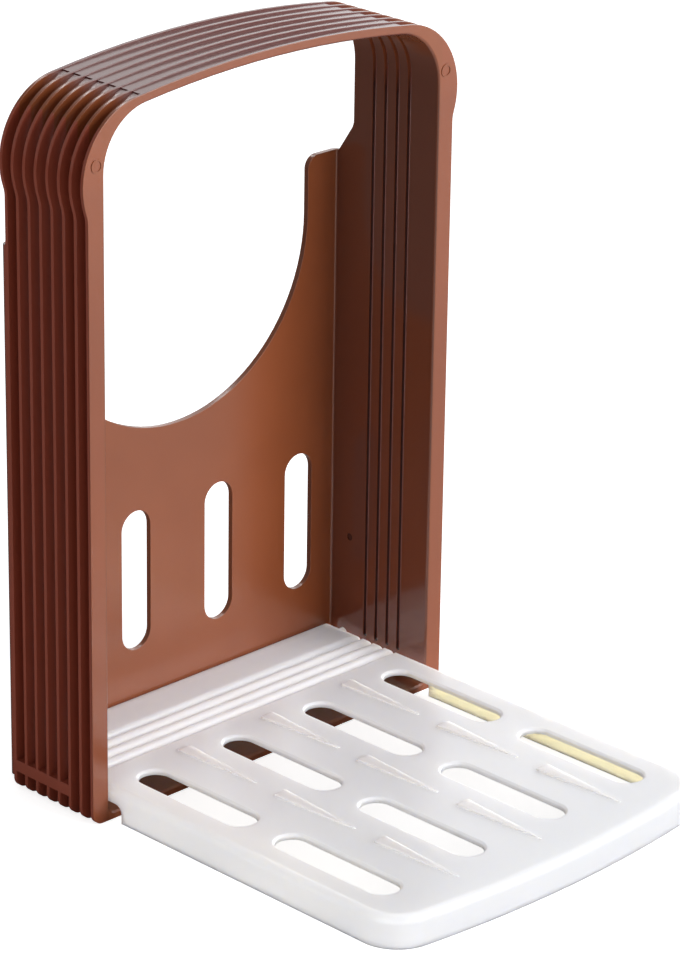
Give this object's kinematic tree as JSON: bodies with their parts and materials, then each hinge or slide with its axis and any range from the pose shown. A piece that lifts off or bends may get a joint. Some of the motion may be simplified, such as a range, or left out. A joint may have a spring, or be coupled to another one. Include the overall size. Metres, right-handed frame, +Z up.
{
  "type": "bread slicer guide",
  "caption": "Folding bread slicer guide: a finned upright frame with knife slots and a hand cut-out, and a slotted base with knife grooves that folds up into the frame.",
  "frame": {"origin": "on the floor, at the centre of the frame's floor plate", "axes": "+Z up, -Y towards the user's side where the loaf is put in and the base lies open, +X to the right seen from there"},
  "size_m": [0.1602, 0.1772, 0.2385],
  "materials": {
    "brown_gloss": "glossy moulded ABS, chocolate brown",
    "white_gloss": "glossy moulded polypropylene, milky white"
  },
  "bodies": {
    "frame": {"slicer_frame": "brown_gloss"},
    "base": {"bread_base": "white_gloss"}
  },
  "joints": [
    {"name": "base_fold", "type": "hinge", "parent": "frame", "child": "base", "pos_m": [0, 0.01553, 0.0085], "axis": [-1, 0, 0], "range_deg": [0, 90]}
  ]
}
